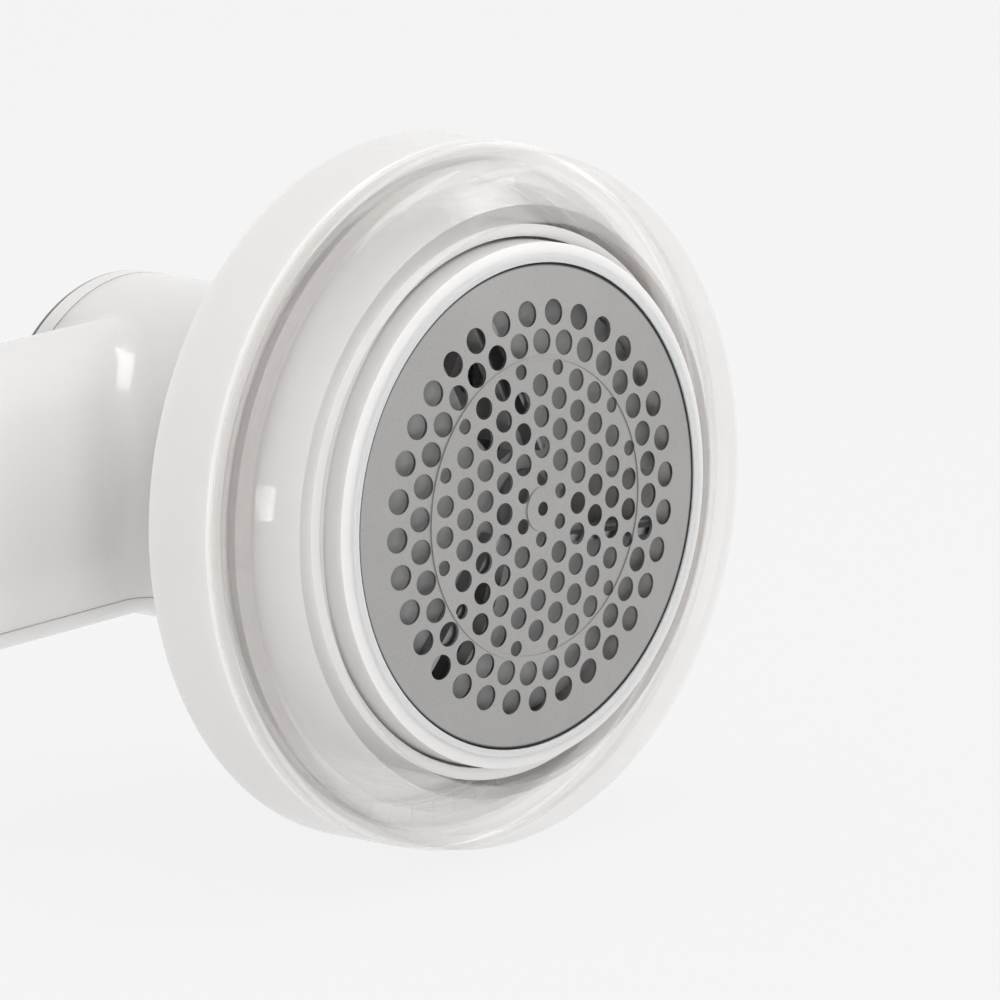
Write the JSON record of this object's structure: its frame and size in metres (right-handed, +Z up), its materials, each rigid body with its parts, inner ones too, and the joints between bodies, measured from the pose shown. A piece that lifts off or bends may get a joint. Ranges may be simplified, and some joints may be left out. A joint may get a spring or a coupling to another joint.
{
  "type": "fabric shaver",
  "caption": "Hand-held fabric shaver: perforated domed foil over spinning blades, clear height-adjust guard on a white round head, short barrel with lint cup, oval battery handle.",
  "frame": {"origin": "on the head's axis, in the plane where the clear guard rests on the white height dial", "axes": "the shaver lies on its side: +Z is up and normal to its plane of symmetry, -Y is the way the foil faces (the head's axis is Y), and -X runs along the handle away from the head"},
  "size_m": [0.1825, 0.0603, 0.07],
  "materials": {
    "white_plastic": "glossy warm white moulded ABS",
    "clear_plastic": "clear polycarbonate, lightly frosted inside",
    "foil_steel": "fine speckled stainless foil",
    "blade_steel": "ground steel edge",
    "rotor_plastic": "satin mid grey",
    "grey_plastic": "matt grey",
    "knob_plastic": "light grey, ribbed",
    "smoke_plastic": "smoked, polished",
    "seal_rubber": "matt black rubber",
    "spring_steel": "drawn spring wire",
    "motor_steel": "plated pressed steel",
    "magnet": "ferrite",
    "copper": "enamelled copper windings",
    "bronze": "sintered bronze",
    "contact_brass": "stamped brass",
    "screw_steel": "zinc plated",
    "lead_sleeve": "red sleeve",
    "cell_jacket": "printed jacket without lettering"
  },
  "bodies": {
    "casing": {"head_housing": "white_plastic", "head_screws": "screw_steel", "motor_front_bush": "bronze", "motor_can": "motor_steel", "motor_magnets": "magnet", "motor_end_bell": "grey_plastic", "motor_terminals": "contact_brass", "motor_sleeve": "grey_plastic", "motor_screws": "screw_steel", "motor_leads": "lead_sleeve", "body_shell": "white_plastic", "side_cover": "white_plastic", "case_screws": "screw_steel", "switch_body": "grey_plastic", "battery_inner": "cell_jacket", "battery_outer": "cell_jacket", "contact_plate": "contact_brass", "bus_strip": "contact_brass"},
    "rotor": {"blade_rotor": "rotor_plastic", "rotor_blades": "blade_steel", "blade_hub": "grey_plastic", "blade_spring": "spring_steel", "motor_shaft": "motor_steel", "motor_armature": "copper", "motor_commutator": "copper"},
    "foil_frame": {"foil": "foil_steel", "foil_ring": "white_plastic"},
    "dial": {"height_dial": "white_plastic"},
    "guard": {"guard_ring": "clear_plastic"},
    "cup": {"lint_cup": "smoke_plastic", "lint_seal": "seal_rubber"},
    "knob": {"switch_knob": "knob_plastic"},
    "cap": {"battery_cap": "white_plastic", "cap_spring": "spring_steel"}
  },
  "joints": [
    {"name": "rotor_spin", "type": "hinge", "parent": "casing", "child": "rotor", "pos_m": [0, 0, 0], "axis": [0, -1, 0], "continuous": true},
    {"name": "foil_pull", "type": "slide", "parent": "casing", "child": "foil_frame", "axis": [0, -1, 0], "range_m": [0, 0.014]},
    {"name": "dial_turn", "type": "hinge", "parent": "casing", "child": "dial", "pos_m": [0, 0, 0], "axis": [0, 1, 0], "range_deg": [0, 60]},
    {"name": "guard_lift", "type": "slide", "parent": "casing", "child": "guard", "axis": [0, -1, 0], "range_m": [0, 0.003]},
    {"name": "cup_pull", "type": "slide", "parent": "casing", "child": "cup", "axis": [0, 1, 0], "range_m": [0, 0.014]},
    {"name": "switch_slide", "type": "slide", "parent": "casing", "child": "knob", "axis": [1, 0, 0], "range_m": [0, 0.004]},
    {"name": "cap_pull", "type": "slide", "parent": "casing", "child": "cap", "axis": [-1, 0, 0], "range_m": [0, 0.012]}
  ],
  "couplings": [
    {"joint": "guard_lift", "follows": "dial_turn", "m_per_rad": 0.0028645}
  ]
}
